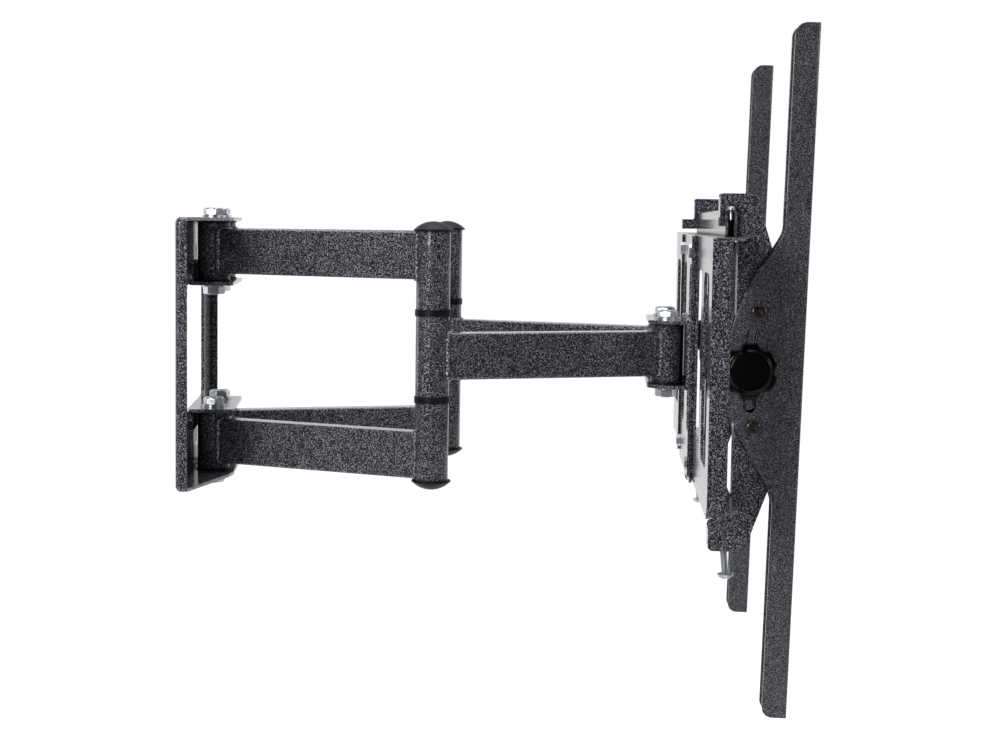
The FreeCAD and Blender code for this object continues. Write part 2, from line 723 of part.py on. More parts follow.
def guide_bolts():
    """Two M6 bolts and nuts fixed in the bracket, running in the hook arm."""
    w = channel_width / 2
    bolts, nuts = [], []
    for deg in (-guide_angle, guide_angle):
        x, z = on_arc(deg, tilt_radius)
        head = rod(0, 0, -1, guide_head, guide_head_radius)
        head = head.makeFillet(0.9, [e for e in head.Edges if e.BoundBox.ZMin > guide_head - 0.01])
        head = head.cut(hex_z(0, 0, guide_head - guide_socket, guide_head + 1, guide_socket_af))
        bolt = fuse(head, rod(0, 0, -1 - 2 * w - m6_nut - 2, 0, m6_radius))
        nut = hex_z(0, 0, -1 - 2 * w - m6_nut, -1 - 2 * w, m6_af, False)
        nut = nut.cut(rod(0, 0, -80, 9, m6_radius))
        for part, into in ((bolt, bolts), (nut, nuts)):
            s = part.copy()
            s.rotate(V(0, 0, 0), V(1, 0, 0), 90)
            s.translate(V(x, -w - 1, z))
            into.append(tilt_place(s))
    return bolts, nuts


def save_bracket(side, sign):
    """One TV bracket set; the far one is the mirror image of the near one."""
    y = sign * bracket_spacing / 2

    def put(shape):
        s = shape.copy()
        if sign > 0:
            s = s.mirror(V(0, 0, 0), V(0, 1, 0))
        s.translate(V(0, y, 0))
        return turned(s, head_mid[0], head_mid[1], head_dir)
    bolts, nuts = guide_bolts()
    save(f"hook_arm_{side}", put(hook_arm(sign)))
    save(f"tilt_stud_{side}", put(tilt_stud()))
    save(f"tilt_washers_{side}", group(*[put(s) for s in tilt_washers()]))
    save(f"lock_screw_{side}", put(lock_screw()))
    save(f"knob_{side}", put(knob()))
    save(f"tv_bracket_{side}", put(tilt_place(tv_bracket())))
    save(f"guide_bolts_{side}", group(*[put(s) for s in bolts]))
    save(f"guide_nuts_{side}", group(*[put(s) for s in nuts]))


# --------------------------------------------------------------- all the parts
save("wall_plate", wall_plate())
save("inner_ear_upper", inner_ear(1))
save("inner_ear_lower", inner_ear(-1))
bolts, washers, nuts = [], [], []
for y in (-half_spacing, half_spacing):
    for top, bottom in ((rear_top + sheet, rear_top - yoke_gap - sheet),
                        (yoke_gap + sheet - rear_top, -rear_top - sheet)):
        bolts.append(pivot_bolt(wall_pivot_x, y, top, bottom, head_turn if y < 0 else -head_turn))
        washers += pivot_washers(wall_pivot_x, y, top, bottom)
        nuts.append(pivot_nut(wall_pivot_x, y, bottom))
save("wall_pivot_bolts", group(*bolts))
save("wall_pivot_washers", group(*washers))
save("wall_pivot_nuts", group(*nuts))

save_rear_arm("near", wall_pivot_x, -half_spacing, rear_near_dir)
save_rear_arm("far", wall_pivot_x, half_spacing, rear_far_dir)
save_front_arm("near", near_elbow[0], near_elbow[1], front_near_dir, bolt_radius + running)
save_front_arm("far", far_elbow[0], far_elbow[1], front_far_dir, bolt_radius + open_pin_play)


def in_head(shape):
    return turned(shape, head_mid[0], head_mid[1], head_dir)


save("head_yoke", in_head(head_yoke()))
bolts, washers, nuts = [], [], []
ear = head_ear_z + sheet
for y in (-half_spacing, half_spacing):
    bolts.append(in_head(pivot_bolt(0, y, ear, -ear, 2 * head_turn)))
    washers += [in_head(s) for s in pivot_washers(0, y, ear, -ear)]
    nuts.append(in_head(pivot_nut(0, y, -ear)))
save("head_pivot_bolts", group(*bolts))
save("head_pivot_washers", group(*washers))
save("head_pivot_nuts", group(*nuts))
save("centre_plate", in_head(centre_plate()))
bolts, nuts = centre_fasteners()
save("centre_bolts", group(*[in_head(s) for s in bolts]))
save("centre_nuts", group(*[in_head(s) for s in nuts]))
save("adapter_plate", in_head(adapter_plate()))
save("top_rail", in_head(top_rail()))
save("rail_screws", group(*[in_head(s) for s in rail_screws()]))
save_bracket("near", -1)
save_bracket("far", 1)
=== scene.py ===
import json
import math

import bpy
import numpy as np
from mathutils import Matrix, Vector


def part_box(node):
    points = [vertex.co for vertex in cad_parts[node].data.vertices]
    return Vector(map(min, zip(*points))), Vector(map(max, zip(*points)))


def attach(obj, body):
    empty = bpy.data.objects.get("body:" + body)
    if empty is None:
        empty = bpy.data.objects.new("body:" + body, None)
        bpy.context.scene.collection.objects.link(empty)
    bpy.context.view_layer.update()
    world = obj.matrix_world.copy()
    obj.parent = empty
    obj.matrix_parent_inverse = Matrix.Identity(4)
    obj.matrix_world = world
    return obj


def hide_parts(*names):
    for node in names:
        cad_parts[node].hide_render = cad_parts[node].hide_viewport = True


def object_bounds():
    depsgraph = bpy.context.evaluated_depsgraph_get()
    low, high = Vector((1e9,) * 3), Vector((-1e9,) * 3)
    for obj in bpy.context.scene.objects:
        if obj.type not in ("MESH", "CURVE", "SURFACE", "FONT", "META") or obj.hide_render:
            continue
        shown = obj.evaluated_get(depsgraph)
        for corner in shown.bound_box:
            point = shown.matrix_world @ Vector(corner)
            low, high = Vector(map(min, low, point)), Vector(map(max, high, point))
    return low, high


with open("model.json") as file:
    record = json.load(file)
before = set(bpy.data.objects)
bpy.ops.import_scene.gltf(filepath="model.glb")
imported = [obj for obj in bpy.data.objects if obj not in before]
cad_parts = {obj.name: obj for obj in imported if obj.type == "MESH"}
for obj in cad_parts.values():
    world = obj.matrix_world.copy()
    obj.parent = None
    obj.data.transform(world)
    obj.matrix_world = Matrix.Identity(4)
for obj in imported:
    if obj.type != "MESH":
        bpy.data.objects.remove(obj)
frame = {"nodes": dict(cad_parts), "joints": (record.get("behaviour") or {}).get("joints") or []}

cad_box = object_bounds()

# ---------------------------------------------------------------- wall plate
# Tray pressed from 3 mm steel, with an ear folded out at the top and at the
# bottom.  It is sprayed with charcoal hammertone enamel and stoved, which
# leaves small bright islands of aluminium flake standing in a dark ground.


def shader(name):
    """New material: its node tree and a Principled shader joined to the output."""
    material = bpy.data.materials.new(name)
    material.use_nodes = True
    tree = material.node_tree
    tree.nodes.clear()
    output = tree.nodes.new("ShaderNodeOutputMaterial")
    skin = tree.nodes.new("ShaderNodeBsdfPrincipled")
    tree.links.new(skin.outputs["BSDF"], output.inputs["Surface"])
    return material, tree, skin


def noise(tree, place, grain, detail=2.0, warp=0.0):
    """Noise whose lumps are about as wide as grain, in metres."""
    node = tree.nodes.new("ShaderNodeTexNoise")
    node.inputs["Scale"].default_value = 1.0 / grain
    node.inputs["Detail"].default_value = detail
    node.inputs["Distortion"].default_value = warp
    tree.links.new(place, node.inputs["Vector"])
    return node.outputs["Fac"]


def ramp(tree, source, *stops):
    """Colour or grey read off source, through (place, colour or grey) stops."""
    node = tree.nodes.new("ShaderNodeValToRGB")
    marks = node.color_ramp.elements
    while len(marks) < len(stops):
        marks.new(0.5)
    for mark, (place, tone) in zip(marks, stops):
        mark.position = place
        mark.color = (*tone, 1.0) if isinstance(tone, tuple) else (tone, tone, tone, 1.0)
    tree.links.new(source, node.inputs["Fac"])
    return node.outputs["Color"]


def blend(tree, kind, first, second, share=1.0):
    """Two colours mixed in one of Blender's ways; share is a number or a socket."""
    node = tree.nodes.new("ShaderNodeMix")
    node.data_type = "RGBA"
    node.blend_type = kind
    for value, socket in ((share, "Factor"), (first, "A"), (second, "B")):
        if isinstance(value, bpy.types.NodeSocket):
            tree.links.new(value, node.inputs[socket])
        else:
            node.inputs[socket].default_value = (*value, 1.0) if isinstance(value, tuple) else value
    return node.outputs["Result"]


def bump(tree, height, depth, strength, under=None):
    """Bump of so many metres from a grey height."""
    node = tree.nodes.new("ShaderNodeBump")
    node.inputs["Strength"].default_value = strength
    node.inputs["Distance"].default_value = depth
    tree.links.new(height, node.inputs["Height"])
    if under:
        tree.links.new(under, node.inputs["Normal"])
    return node.outputs["Normal"]


def object_place(tree):
    """Socket with the place on the piece, in metres."""
    return tree.nodes.new("ShaderNodeTexCoord").outputs["Object"]


def hammertone(name, ground, flake, grain=0.00098, painted_shade_reach=0.007):
    """Enamel: a fine warped noise is cut off near its mean, and what is above
    is bright metal flake, standing a little above the dark glossy ground.
    Within the reach given in metres of a corner, ambient occlusion darkens the
    flake and thins the coat: painted shade in creases and between parts."""
    material, tree, skin = shader(name)
    place = object_place(tree)
    islands = noise(tree, place, grain, 1.0, 0.3)
    flakes = ramp(tree, islands, (0.5, 0.0), (0.57, 0.4), (0.67, 1.0))
    cloud = noise(tree, place, 6 * grain)
    uneven = blend(tree, "MULTIPLY", flakes, ramp(tree, cloud, (0.3, 0.75), (0.7, 1.0)))
    # Painted shade: ambient occlusion darkens the flake colour near corners and between parts
    corner = tree.nodes.new("ShaderNodeAmbientOcclusion")
    corner.samples = 8
    corner.inputs["Distance"].default_value = painted_shade_reach
    painted_corner_shade = ramp(tree, corner.outputs["AO"], (0.4, 0.05), (0.9, 1.0))
    shown = blend(tree, "MULTIPLY", uneven, painted_corner_shade)
    tree.links.new(blend(tree, "MIX", ground, flake, shown), skin.inputs["Base Color"])
    tree.links.new(ramp(tree, shown, (0.0, 0.0), (1.0, 0.85)), skin.inputs["Metallic"])
    tree.links.new(ramp(tree, shown, (0.0, 0.55), (1.0, 0.42)), skin.inputs["Roughness"])
    # Painted shade also thins the coat near corners
    tree.links.new(painted_corner_shade, skin.inputs["Coat Weight"])
    edge = tree.nodes.new("ShaderNodeBevel")
    edge.samples = 6
    edge.inputs["Radius"].default_value = 0.0009
    skin.inputs["Specular IOR Level"].default_value = 0.15
    skin.inputs["Coat Roughness"].default_value = 0.1
    rounded = edge.outputs["Normal"]
    tree.links.new(bump(tree, flakes, 0.00025, 0.6, rounded), skin.inputs["Normal"])
    tree.links.new(bump(tree, flakes, 0.00004, 0.12, rounded), skin.inputs["Coat Normal"])
    return material


def dress(material, *names):
    """Give CAD nodes one material."""
    for name in names:
        mesh = frame["nodes"][name].data
        mesh.materials.clear()
        mesh.materials.append(material)


enamel = hammertone("charcoal_hammertone", (0.005, 0.005, 0.007), (0.5, 0.51, 0.59))
dress(enamel, "wall_plate")

# ----------------------------------------------------------------- inner ears
# Folded steel ears that close the upper and the lower yoke.  Each is welded to
# the tray down both sides of its upturned back, with three short stitches
# along its edge.  The enamel goes over the welds, painted lighter there as a painted highlight, with
# little painted corner shade.
bead_size = 0.0024
bead_step = 0.0036
points_a_drop = 6


def grid_object(name, grids, material):
    """One closed mesh for each (rows, columns, 3) grid of points.  Columns run
    round and join up; the first and last rows close in a fan, unless they are
    equal, and then the rows join up too.  Edges over 40 degrees stay sharp."""
    points, faces, start = [], [], 0
    for grid in grids:
        ring = np.allclose(grid[0], grid[-1])
        if ring:
            grid = grid[:-1]
        rows, columns = grid.shape[:2]
        index = start + np.arange(rows * columns).reshape(rows, columns)
        wide = np.concatenate([index, index[:, :1]], axis=1)
        if ring:
            wide = np.concatenate([wide, wide[:1]], axis=0)
        quads = np.stack([wide[:-1, :-1], wide[:-1, 1:], wide[1:, 1:], wide[1:, :-1]], axis=-1)
        faces += quads.reshape(-1, 4).tolist()
        points.append(grid.reshape(-1, 3))
        start += rows * columns
        if not ring:
            points.append(np.stack([grid[0].mean(axis=0), grid[-1].mean(axis=0)]))
            first, last = wide[0], wide[-1]
            fan = np.full(columns, start)
            faces += np.stack([fan, first[1:], first[:-1]], axis=-1).tolist()
            faces += np.stack([fan + 1, last[:-1], last[1:]], axis=-1).tolist()
            start += 2
    mesh = bpy.data.meshes.new(name)
    mesh.from_pydata(np.concatenate(points).tolist(), [], faces)
    mesh.polygons.foreach_set("use_smooth", [True] * len(mesh.polygons))
    mesh.set_sharp_from_angle(angle=math.radians(40))
    mesh.materials.append(material)
    piece = bpy.data.objects.new(name, mesh)
    bpy.context.collection.objects.link(piece)
    return piece


def evenly(path, step):
    """The same path with its points at equal distances."""
    run = np.concatenate([[0], np.cumsum(np.linalg.norm(np.diff(path, axis=0), axis=1))])
    places = np.linspace(0, run[-1], max(4, int(run[-1] / step)))
    return np.stack([np.interp(places, run, path[:, k]) for k in range(3)], axis=1)


def weld(path, size=bead_size, hide=(0, 0, 1)):
    """Weld bead: a cord along the path.  Its radius swells once every bead
    step, as each drop of metal freezes, and falls off with the square root of
    the distance to an open end.  Its rings are turned so that one side lies
    square to both the path and the hide direction."""
    path = evenly(path, bead_step / points_a_drop)
    closed = np.allclose(path[0], path[-1])
    along = np.gradient(path, axis=0)
    if closed:
        along[0] = along[-1] = path[1] - path[-2]
    along /= np.linalg.norm(along, axis=1)[:, None]
    side = np.cross(along, np.asarray(hide, float))
    side /= np.maximum(np.linalg.norm(side, axis=1), 1e-9)[:, None]
    other = np.cross(side, along)
    count = len(path) - 1
    drops = max(1, round(count / points_a_drop))
    phase = np.arange(count + 1) / count * drops
    swell = 0.2 * np.abs(np.sin(np.pi * phase)) + 0.05 * np.sin(2.3 * phase)
    radius = size * (0.86 + swell)
    if closed:
        radius[-1] = radius[0]
    else:
        to_end = np.minimum(np.arange(count + 1), count - np.arange(count + 1))
        radius *= np.sqrt(np.clip(to_end / 5, 0.05, 1))
    turn = np.linspace(0, 2 * math.pi, 10, endpoint=False)
    return (path[:, None] + radius[:, None, None] * (np.cos(turn)[None, :, None] * side[:, None]
            + np.sin(turn)[None, :, None] * other[:, None]))


def straight(start, end):
    """Thirty points in a straight line."""
    return np.linspace(np.asarray(start, float), np.asarray(end, float), 30)


dress(enamel, "inner_ear_upper", "inner_ear_lower")
# A lighter copy of the charcoal enamel with a coarser grain: painted highlight on the weld beads, whose
# painted corner shade reaches only 0.6 mm
weld_enamel_painted_highlight = hammertone("hammertone_on_weld", (0.02, 0.02, 0.024), (0.75, 0.76, 0.82),
                         grain=0.0012, painted_shade_reach=0.0006)
ear_sheet = 0.003
ear_stitch_half = 0.011
ear_stitches = (-0.044, 0, 0.044)
ear_bead_start = 0.004
ear_bead_stop = 0.007
beads = []
for name in ("inner_ear_upper", "inner_ear_lower"):
    low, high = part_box(name)
    level = 1 if low[2] > 0 else -1
    foot, edge = (low[2], high[2]) if level > 0 else (high[2], low[2])
    for y in (low[1], high[1]):
        side_seam = straight((ear_sheet, y, foot + ear_bead_start * level),
                             (ear_sheet, y, edge - ear_bead_stop * level))
        beads.append(weld(side_seam, hide=(1, 0, 0)))
    for y in ear_stitches:
        stitch = straight((ear_sheet, y - ear_stitch_half, edge), (ear_sheet, y + ear_stitch_half, edge))
        beads.append(weld(stitch, hide=(1, 0, 0)))
ear_welds = grid_object("inner_ear_welds", beads, weld_enamel_painted_highlight)
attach(ear_welds, "wall")

# ----------------------------------------------------------------------- arms
# Rectangular tube, 40 x 20 mm, whose ends are sawn to the round sleeves and
# welded all round.  Each weld is one bead, sunk a little where it runs over
# the top and bottom of the tube, and is sprayed over with the arm.
arm_tubes = ("rear_near_upper", "rear_near_lower", "rear_far_upper", "rear_far_lower",
             "front_near", "front_far")
arm_width = 0.020
arm_corner = 0.0025
bead_sunk = 0.0007


def middle(name):
    """Centre of a CAD node's box."""
    low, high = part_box(name)
    return (np.array(low) + np.array(high)) / 2


def saddle(centre, ahead, radius, height):
    """Where a tube meets a round sleeve: a rounded rectangle across the tube
    and upright, bent round the sleeve.  Each point's depth from the sleeve's
    axis is the root of radius squared less its place across squared."""
    half, rise = arm_width / 2, height / 2 - bead_sunk
    turn = np.linspace(0, math.pi / 2, 8)
    corners = []
    for y, z, start in ((1, 1, 0), (-1, 1, 1), (-1, -1, 2), (1, -1, 3)):
        angle = turn + start * math.pi / 2
        corners.append(np.stack([y * (half - arm_corner) + arm_corner * np.cos(angle),
                                 z * (rise - arm_corner) + arm_corner * np.sin(angle)], axis=1))
    loop = np.concatenate(corners + [corners[0][:1]])
    loop = evenly(np.column_stack([np.zeros(len(loop)), loop]), bead_step / points_a_drop)
    depth = np.sqrt(radius ** 2 - loop[:, 1] ** 2)
    across = np.array([-ahead[1], ahead[0], 0])
    return (np.asarray(centre) + depth[:, None] * ahead + loop[:, 1:2] * across
            + loop[:, 2:3] * np.array([0, 0, 1.0]))


def saddle_weld(path, centre):
    """A bead centred on the corner between tube and sleeve, so that part of its
    girth is inside them."""
    return weld(path, size=bead_size * 0.95, hide=path.mean(axis=0) - np.asarray(centre))


for arm in arm_tubes:
    body = "_".join(arm.split("_")[:2])
    dress(enamel, f"{arm}_tube", f"{arm}_sleeve", f"{arm}_barrel")
    low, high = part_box(f"{arm}_tube")
    height = high[2] - low[2]
    level = middle(f"{arm}_tube")[2]
    beads = []
    for end, other in (("barrel", "sleeve"), ("sleeve", "barrel")):
        centre = middle(f"{arm}_{end}")
        ahead = middle(f"{arm}_{other}") - centre
        centre[2] = level
        ahead[2] = 0
        ahead /= np.linalg.norm(ahead)
        low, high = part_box(f"{arm}_{end}")
        radius = (high[0] - low[0]) / 2
        beads.append(saddle_weld(saddle(centre, ahead, radius, height), centre))
    welds = grid_object(f"{arm}_welds", beads, weld_enamel_painted_highlight)
    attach(welds, body)

# ----------------------------------------------- bushes, elbow rings and caps
# Injection moulded black nylon.  The bushes are pressed into the barrels, the
# rings run between the elbow sleeves, and the caps snap into the pin's ends.


def moulded(name, colour, rough, grain=0.0005):
    """Black plastic with a fine eroded grain and faint cloudy flow marks."""
    material, tree, skin = shader(name)
    place = object_place(tree)
    pits = noise(tree, place, grain, 3.0)
    flow = noise(tree, place, 0.02, 2.0, 1.0)
    dark, light = (tuple(c * k for c in colour) for k in (0.75, 1.3))
    tree.links.new(blend(tree, "MIX", dark, light, ramp(tree, flow, (0.3, 0.0), (0.7, 1.0))),
                   skin.inputs["Base Color"])
    tree.links.new(ramp(tree, pits, (0.3, rough - 0.07), (0.7, rough + 0.09)), skin.inputs["Roughness"])
    tree.links.new(bump(tree, pits, 0.00006, 0.3), skin.inputs["Normal"])
    skin.inputs["Specular IOR Level"].default_value = 0.22
    return material


nylon = moulded("black_nylon", (0.004, 0.004, 0.0045), 0.45)
for side in ("near", "far"):
    dress(nylon, f"rear_{side}_bushes", f"front_{side}_bushes")
    dress(nylon, f"elbow_{side}_rings", f"elbow_{side}_caps")

# ----------------------------------------------------------------- elbow pins
# Drawn steel tube, hidden in the sleeves, left bare and lightly oiled.


def bare_metal(name, colour, rough, streak=0.0006, mottle=0.004, relief=0.00001):
    """Metal with drawn streaks along Z and cloudy patches of duller surface."""
    material, tree, skin = shader(name)
    place = object_place(tree)
    stretch = tree.nodes.new("ShaderNodeMapping")
    stretch.inputs["Scale"].default_value = (1.0, 1.0, 0.06)
    tree.links.new(place, stretch.inputs["Vector"])
    lines = noise(tree, stretch.outputs["Vector"], streak, 3.0)
    cloud = noise(tree, place, mottle, 3.0, 0.4)
    dull = tuple(0.82 * c for c in colour)
    tree.links.new(blend(tree, "MIX", dull, colour, ramp(tree, cloud, (0.35, 0.0), (0.6, 1.0))),
                   skin.inputs["Base Color"])
    duller = ramp(tree, cloud, (0.3, rough + 0.08), (0.7, rough - 0.05))
    tree.links.new(duller, skin.inputs["Roughness"])
    tree.links.new(bump(tree, lines, relief, 0.4), skin.inputs["Normal"])
    skin.inputs["Metallic"].default_value = 1.0
    return material


oiled_steel = bare_metal("oiled_steel", (0.36, 0.35, 0.34), 0.34)
dress(oiled_steel, "elbow_near_pin", "elbow_far_pin")

# ------------------------------------------------------ pivot bolts and nuts
# M10 hexagon bolts of zinc plated steel, through both ears of a yoke, with a
# washer under the head and under the nut.  The thread is rolled.
zinc = bare_metal("bright_zinc", (0.6, 0.62, 0.66), 0.32, mottle=0.0025, relief=0.000003)
hexagon_turn = {"wall_near": 13.0, "wall_far": -13.0, "head": 26.0}
m10_radius = 0.005
m10_head = 0.0064
m10_across = 0.017
m10_pitch = 0.0015
m10_thread = 0.018
overlap = 0.0005             # stretches of one bolt run into each other by this


def round_part(name, axis, chosen=None):
    """Centre line and lowest and highest place along axis of a round CAD part;
    chosen says which of the node's vertices belong to it."""
    mesh = frame["nodes"][name].data
    points = np.empty(3 * len(mesh.vertices))
    mesh.vertices.foreach_get("co", points)
    points = points.reshape(-1, 3)
    if chosen is not None:
        points = points[chosen(points)]
    axis = np.asarray(axis, float) / np.linalg.norm(axis)
    side = np.cross(axis, (0, 1, 0))
    side /= np.linalg.norm(side)
    other = np.cross(axis, side)
    spans = [points @ way for way in (side, other, axis)]
    centre = sum((s.min() + s.max()) / 2 * way for s, way in zip(spans[:2], (side, other)))
    return centre, side, other, axis, spans[2].min(), spans[2].max()


def turned(line, along, radius, angle):
    """Grid in space: at each place along the line, a ring of that radius."""
    centre, side, other, axis = line[:4]
    radius = np.broadcast_to(radius, (len(along), len(angle)))
    along = np.asarray(along, float)
    along = along[:, None] if along.ndim == 1 else along
    return (centre + along[..., None] * axis + (radius * np.cos(angle))[..., None] * side
            + (radius * np.sin(angle))[..., None] * other)


def thread(line, start, end, radius, pitch, steps=8, columns=40):
    """Rolled thread: the radius falls and rises once for each pitch along the
    axis, and lags by one pitch in one turn.  It runs out to the core at end."""
    angle = np.linspace(0, -2 * math.pi, columns, endpoint=False)
    along = np.linspace(start, end, max(3, int(abs(end - start) / pitch * steps)))
    wave = ((along[:, None] - start) / pitch + angle / (2 * math.pi)) % 1.0
    depth = 0.6 * pitch * (1 - np.clip(2.4 * np.abs(wave - 0.5), 0, 1))
    run_out = np.clip(abs(end - along) / pitch, 0, 1)[:, None]
    core = radius - 0.62 * pitch
    return turned(line, along, np.minimum(radius - depth, core + (radius - core) * run_out), angle)


def shank(line, start, end, radius, columns=40):
    """Plain cylinder from start to end."""
    angle = np.linspace(0, -2 * math.pi, columns, endpoint=False)
    return turned(line, np.array([start, end]), np.full((2, columns), radius), angle)


def hexagon_head(line, seat, top, turn):
    """Forged head on a thin washer face, with a shallow dish on top.  Its
    radius is half the width across flats over the cosine of the angle from the
    nearest flat, and what stands past a circle of that width is turned off at
    30 degrees at both ends."""
    angle = np.linspace(0, -2 * math.pi, 96, endpoint=False)
    from_flat = np.abs(angle + math.radians(turn)) % (math.pi / 3) - math.pi / 6
    hexagon = m10_across / 2 / np.cos(from_flat)
    face = 0.48 * m10_across * np.ones_like(angle)
    up = 1 if top > seat else -1
    height = abs(top - seat)
    # share of the height, ring, and which way its turned off corners move
    rows = [(0.0, 0.5 * face, 0), (0.0, face, 0), (0.05, face, 0), (0.07, hexagon, 1), (0.4, hexagon, 0),
            (0.8, hexagon, -1), (0.86, 0.995 * hexagon, -1), (1.0, face, 0), (1.0, 0.86 * face, 0),
            (0.93, 0.76 * face, 0), (0.91, 0.3 * face, 0)]
    radius = np.array([ring for _, ring, _ in rows])
    share, toward = (np.array([row[k] for row in rows])[:, None] for k in (0, 2))
    turned_off = np.maximum(radius - m10_across / 2, 0) * math.tan(math.radians(30))
    along = seat + up * (share * height + toward * turned_off)
    return turned(line, along, radius, angle if up > 0 else -angle)


def hexagon_bolt(node, turn, chosen):
    """Head, shank and thread of the one bolt of a node that chosen picks."""
    line = round_part(node, (0, 0, 1), chosen)
    low, high = line[4:]
    seat = high - m10_head
    return [hexagon_head(line, seat, high, turn),
            shank(line, low + m10_thread, seat + 2 * overlap, m10_radius),
            thread(line, low, low + m10_thread + overlap, m10_radius, m10_pitch)]


bolts = []
for side_name, side in (("near", -1), ("far", 1)):
    for level in (-1, 1):
        bolts += hexagon_bolt("wall_pivot_bolts", hexagon_turn[f"wall_{side_name}"],
                              lambda p: (p[:, 1] * side > 0) & (p[:, 2] * level > 0))
wall_bolts = grid_object("wall_pivot_bolts_threaded", bolts, zinc)
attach(wall_bolts, "wall")
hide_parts("wall_pivot_bolts")
dress(zinc, "wall_pivot_washers", "wall_pivot_nuts")

# ------------------------------------------------- head yoke, plates and rail
# Bent steel yoke that takes the head ends of both front arms.  Its base is
# welded in short stitches to the centre plate, which is bolted to the folded
# adapter plate.  The rail lies on the adapter plate, and screws stop its ends.
dress(enamel, "head_yoke", "centre_plate", "adapter_plate", "top_rail")
head_way = np.array(next(j for j in frame["joints"] if j["name"] == "near_slide")["axis"], float)
head_out = np.array([head_way[1], -head_way[0], 0.0])
head_middle = middle("head_pivot_bolts")
head_middle[2] = 0.0


def in_head(out, along, up):
    """Point given from the middle between the head pivots: away from the wall,
    along the adapter plate, and up."""
    return head_middle + out * head_out + along * head_way + up * np.array([0, 0, 1.0])


yoke_face = 0.019
yoke_stitch_half = 0.012
yoke_stitches = (-0.045, 0, 0.045)
yoke_side = 0.062
yoke_side_half = 0.022
yoke_low, yoke_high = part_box("head_yoke")
beads = []
for z in (yoke_low[2], yoke_high[2]):
    for y in yoke_stitches:
        stitch = straight(in_head(yoke_face, y - yoke_stitch_half, z),
                          in_head(yoke_face, y + yoke_stitch_half, z))
        beads.append(weld(stitch, hide=head_out))
for y in (-yoke_side, yoke_side):
    seam = straight(in_head(yoke_face, y, -yoke_side_half), in_head(yoke_face, y, yoke_side_half))
    beads.append(weld(seam, hide=head_out))
yoke_welds = grid_object("head_yoke_welds", beads, weld_enamel_painted_highlight)
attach(yoke_welds, "head")

bolts = []
split = head_middle[1]
for side in (-1, 1):
    bolts += hexagon_bolt("head_pivot_bolts", hexagon_turn["head"],
                          lambda p: (p[:, 1] - split) * side > 0)
head_bolts = grid_object("head_pivot_bolts_threaded", bolts, zinc)
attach(head_bolts, "head")
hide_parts("head_pivot_bolts")
dress(zinc, "head_pivot_washers", "head_pivot_nuts")
dress(zinc, "centre_bolts", "centre_nuts", "rail_screws")

# ------------------------------------------------------------------ hook arms
# Folded from 2.5 mm steel and enamelled; each hangs over the rail and slides
# along it.  A zinc plated stud crosses it, and a lock screw comes up its foot.
lock_head = 0.005
lock_head_radius = 0.0064
lock_recess = 0.0016
lock_overlap = 0.0004        # the thread runs into the head by this
m6_radius = 0.003
m6_pitch = 0.001
m6_rings = 7                 # to each pitch
m6_columns = 28


def pan_head(line, seat, top, radius, recess):
    """Pan head: the side draws in with the cube of its height, the top is a
    parabolic dome, and a cross is pressed into it.  The cross fades out where
    the smaller of x and y, and then the larger, is too far from the middle."""
    angle = np.linspace(0, 2 * math.pi, 96, endpoint=False)
    share = np.linspace(0, 1, 9)
    side_r = radius * (1 - 0.16 * share ** 3)
    side_z = 0.55 * share
    crown = np.linspace(1, 0.02, 26)
    crown_r = side_r[-1] * crown
    crown_z = 0.55 + 0.45 * (1 - crown ** 2)
    r = np.concatenate([[0.3 * radius], side_r, crown_r])[:, None] * np.ones_like(angle)
    rise = np.concatenate([[0.0], side_z, crown_z])[:, None] * abs(top - seat) * np.ones_like(angle)
    x, y = r * np.cos(angle), r * np.sin(angle)
    thin = np.minimum(abs(x), abs(y)) / (0.13 * radius)
    reach = np.maximum(abs(x), abs(y)) / (0.58 * radius)
    pressed = np.clip(2.2 - 1.8 * thin, 0, 1) * np.clip(5 - 5 * reach, 0, 1)
    pressed[:10] = 0
    rise -= recess * pressed
    up = 1 if top > seat else -1
    return turned(line, seat + up * rise, r, angle if up < 0 else -angle)


for side in ("near", "far"):
    dress(enamel, f"hook_arm_{side}")
    dress(zinc, f"tilt_stud_{side}", f"tilt_washers_{side}")
    axis = next(j for j in frame["joints"] if j["name"] == f"{side}_lock_screw_out")["axis"]
    line = round_part(f"lock_screw_{side}", axis)
    tip, end = line[4:]
    seat = end - lock_head
    screw = grid_object(f"lock_screw_{side}_threaded",
                        [pan_head(line, seat, end, lock_head_radius, lock_recess),
                         thread(line, tip, seat + lock_overlap, m6_radius, m6_pitch,
                                m6_rings, m6_columns)], zinc)
    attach(screw, f"lock_{side}")
    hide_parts(f"lock_screw_{side}")

# ---------------------------------------------------------------- TV brackets
# Long channels pressed from thin steel, with a round belly that takes the tilt.
# They are sprayed on another line, with a finer and darker flake.
fine_enamel = hammertone("fine_hammertone", (0.013, 0.013, 0.016), (0.43, 0.44, 0.5),
                         grain=0.00062)
dress(fine_enamel, "tv_bracket_near", "tv_bracket_far")

# --------------------------------------------------------------- guide screws
# M6 screws with turned, round edged heads and a hexagon socket, blackened in
# hot oxide.  They guide the tilt, and nuts hold them inside the bracket.
guide_head = 0.0036
guide_head_radius = 0.0058
guide_rim = 0.0009
guide_socket = 0.004
guide_socket_deep = 0.003
guide_socket_bevel = 0.0003
guide_thread = 0.012
black_oxide = bare_metal("black_oxide", (0.2, 0.18, 0.16), 0.17, mottle=0.003, relief=0.000003)


